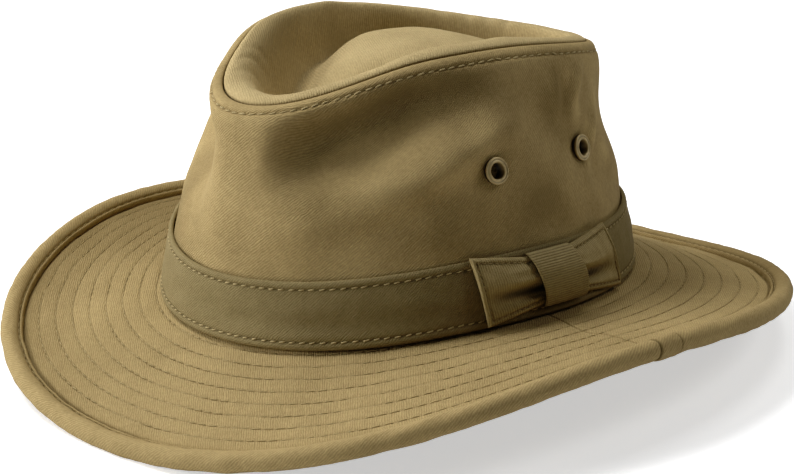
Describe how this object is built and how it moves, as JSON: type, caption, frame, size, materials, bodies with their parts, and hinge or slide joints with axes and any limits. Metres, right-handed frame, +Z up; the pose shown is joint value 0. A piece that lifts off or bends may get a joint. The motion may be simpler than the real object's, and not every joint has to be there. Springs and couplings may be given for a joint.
{
  "type": "safari hat",
  "caption": "Cotton canvas safari hat with a pinched teardrop crown, stitched brim, rolled edge binding, band with a flat bow and brass eyelets.",
  "frame": {"origin": "on the ground under the middle of the brim's outline", "axes": "+X towards the wearer's left, where the bow is, +Y towards the back of the hat, +Z up out of the crown"},
  "size_m": [0.314, 0.3256, 0.1351],
  "materials": {
    "canvas": "dry khaki cotton twill, lightly worn",
    "band_canvas": "khaki cotton twill, a little greener and darker",
    "grosgrain": "ribbed woven ribbon",
    "brass": "dull antique brass"
  },
  "bodies": {
    "root": {"crown_side": "canvas", "crown_tip": "canvas", "brim": "canvas", "brim_binding": "canvas", "hat_band": "band_canvas", "bow_front_wing": "band_canvas", "bow_back_wing": "band_canvas", "bow_knot": "grosgrain", "eyelet_left_front": "brass", "eyelet_left_back": "brass", "eyelet_right_front": "brass", "eyelet_right_back": "brass"}
  },
  "joints": []
}
